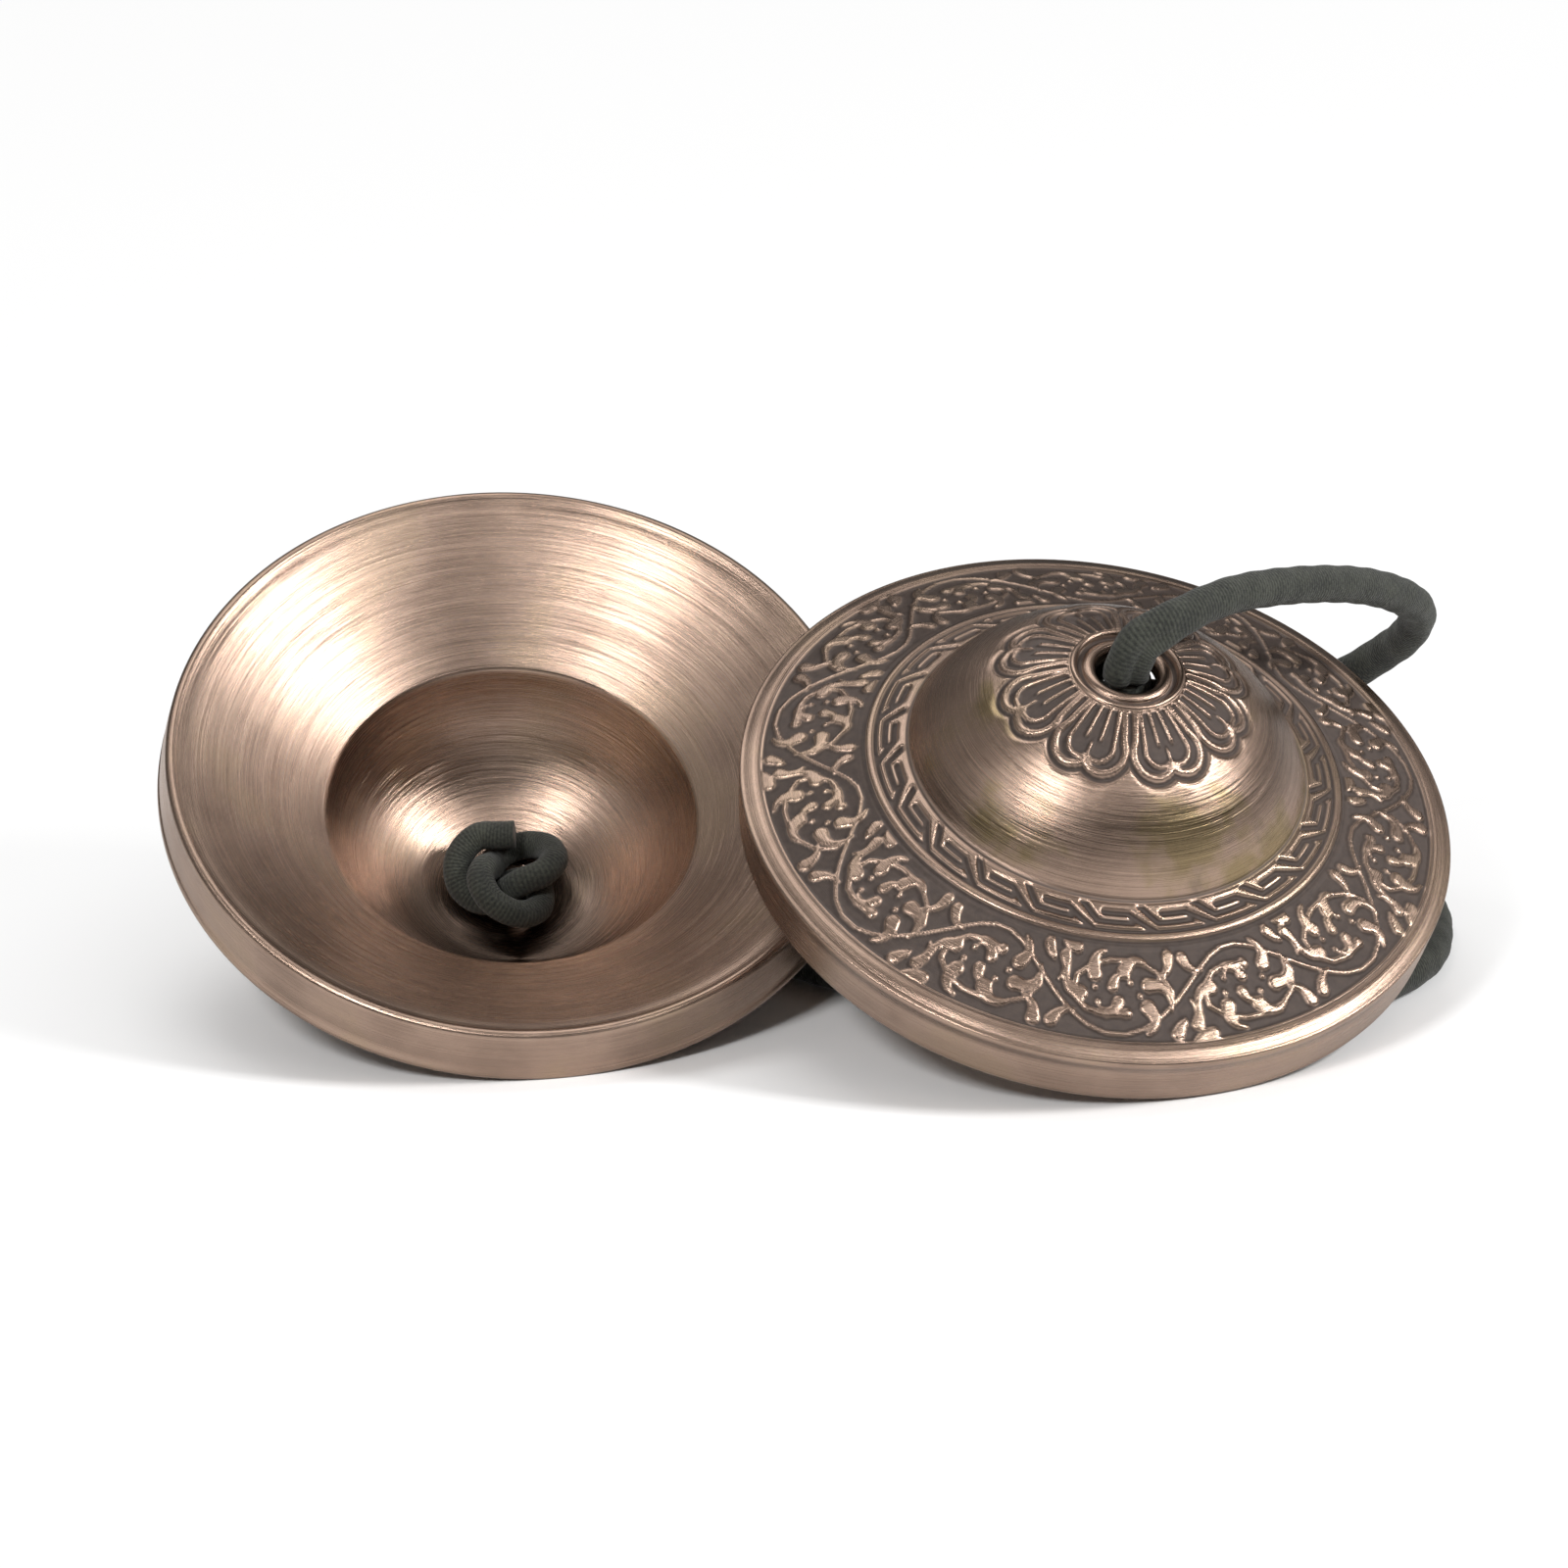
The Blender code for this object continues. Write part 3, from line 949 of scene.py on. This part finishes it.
@dataclass
class Studio:
    """White table, soft lamps and the camera of the photograph."""

    eye: Point = (-0.00149, -0.67235, 0.25161)
    right: Point = (0.9994, -0.0113, -0.0327)
    up: Point = (0.0347, 0.3253, 0.945)
    lens: float = 180.0
    bare_share: float = 0.8
    under: tuple[float, float] = (0.045, 0.085)

    def camera(self) -> bpy.types.Object:
        """Place the camera as the photograph was taken."""
        data = bpy.data.cameras.new("view")
        data.lens = self.lens
        data.sensor_width = 36.0
        data.clip_start = 0.01
        camera = bpy.data.objects.new("view", data)
        right = Vector(self.right).normalized()
        up = (Vector(self.up) - right * right.dot(Vector(self.up))).normalized()
        back = right.cross(up)
        camera.matrix_world = Matrix((
            (right.x, up.x, back.x, self.eye[0]),
            (right.y, up.y, back.y, self.eye[1]),
            (right.z, up.z, back.z, self.eye[2]),
            (0, 0, 0, 1)))
        bpy.context.scene.collection.objects.link(camera)
        bpy.context.scene.camera = camera
        return camera

    def table(self) -> bpy.types.Object:
        """White table top that keeps the shadow."""
        bpy.ops.object.select_all(action='DESELECT')
        bpy.ops.mesh.primitive_plane_add(size=6.0, location=(0, 0, 0))
        table = bpy.context.object
        table.name = "table"
        g = Graph("table_white")
        white = (0.93, 0.93, 0.93, 1.0)
        lit = g.node("ShaderNodeBsdfDiffuse", {}, {"Color": white})
        bare = g.node("ShaderNodeEmission", {}, {"Color": (1.0, 1.0, 1.0, 1.0), "Strength": 1.0})
        seen = g.node("ShaderNodeLightPath", {}, (), "Is Camera Ray")
        place = g.node("ShaderNodeTexCoord", {}, (), "Object")
        reach = g.node("ShaderNodeVectorMath", {"operation": "LENGTH"}, (place,), "Value")
        away = reach.ramp(*self.under)
        share = seen * (away * self.bare_share)
        g.node_output(g.node("ShaderNodeMixShader", {}, (share, lit, bare)))
        table.data.materials.append(g.material)
        return table

    def lamp(self, name: str, place: Point, size: float, power: float) -> None:
        """Add a square soft lamp that faces the object.

        Args:
            name: the lamp's name.
            place: where it hangs.
            size: its width.
            power: its strength in watts.
        """
        data = bpy.data.lights.new(name, 'AREA')
        data.size = size
        data.energy = power
        lamp = bpy.data.objects.new(name, data)
        lamp.location = place
        lamp.rotation_euler = (Vector(place) - Vector((0, 0, 0.02))).to_track_quat('Z', 'Y').to_euler()
        bpy.context.scene.collection.objects.link(lamp)

    def world(self) -> None:
        """White to the eye and grey with a bright top for the metal to mirror."""
        world = bpy.data.worlds.new("studio")
        world.use_nodes = True
        tree = world.node_tree
        tree.nodes.clear()
        path = tree.nodes.new("ShaderNodeLightPath")
        seen = tree.nodes.new("ShaderNodeBackground")
        seen.inputs[0].default_value = (1, 1, 1, 1)
        place = tree.nodes.new("ShaderNodeTexCoord")
        split = tree.nodes.new("ShaderNodeSeparateXYZ")
        ramp = tree.nodes.new("ShaderNodeValToRGB")
        ramp.color_ramp.elements[0].position = 0.0
        ramp.color_ramp.elements[0].color = (0.10, 0.10, 0.10, 1)
        ramp.color_ramp.elements[1].position = 0.9
        ramp.color_ramp.elements[1].color = (0.85, 0.84, 0.83, 1)
        lit = tree.nodes.new("ShaderNodeBackground")
        lit.inputs[1].default_value = 0.5
        mix = tree.nodes.new("ShaderNodeMixShader")
        output = tree.nodes.new("ShaderNodeOutputWorld")
        links = tree.links
        links.new(place.outputs["Generated"], split.inputs[0])
        links.new(split.outputs[2], ramp.inputs[0])
        links.new(ramp.outputs[0], lit.inputs[0])
        links.new(path.outputs["Is Camera Ray"], mix.inputs[0])
        links.new(lit.outputs[0], mix.inputs[1])
        links.new(seen.outputs[0], mix.inputs[2])
        links.new(mix.outputs[0], output.inputs[0])
        bpy.context.scene.world = world

    def build(self) -> None:
        """Set up the table, the world and the lamps."""
        self.table()
        self.world()
        self.lamp("right", (0.84, -0.30, 0.65), 0.24, 9.5)
        self.lamp("front_left", (-0.36, -0.72, 0.66), 0.2, 5.5)
        self.lamp("top", (-0.1, 0.25, 0.95), 0.5, 2.5)
        bpy.context.scene.view_settings.view_transform = 'Standard'


def cymbal_frame(joint: dict[str, Any]) -> Matrix:
    """Frame of a cymbal from its spin joint.

    Args:
        joint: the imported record's joint, with the place of the wall's upper edge and the axis.

    Returns:
        The placing matrix, Z toward the boss and X to the picture's right.
    """
    axis = Vector(joint["axis"]).normalized()
    across = (Vector((1, 0, 0)) - axis * axis.x).normalized()
    turn = Matrix((across, axis.cross(across), axis)).transposed().to_4x4()
    return Matrix.Translation(Vector(joint["pos_m"])) @ turn


def main() -> None:
    """Build the cord, the cymbals and the studio, and log the face count of each cord and cymbal piece.
    """
    logging.basicConfig(level=logging.INFO, format="%(message)s")
    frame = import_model()
    placings = {j["child"]: cymbal_frame(j) for j in frame["joints"]}
    studio = Studio()
    studio.camera()
    cord = Cord(placings["left"], placings["right"])
    for piece in cord.build(SuedeFinish()):
        LOG.info("%s: %d faces", piece.name, len(piece.data.polygons))
    finish = BronzeFinish()
    for side in Side:
        piece = Cymbal(side, placings[side.value]).build(finish)
        LOG.info("%s: %d faces", piece.name, len(piece.data.polygons))
    studio.build()


if __name__ == "__main__":
    main()
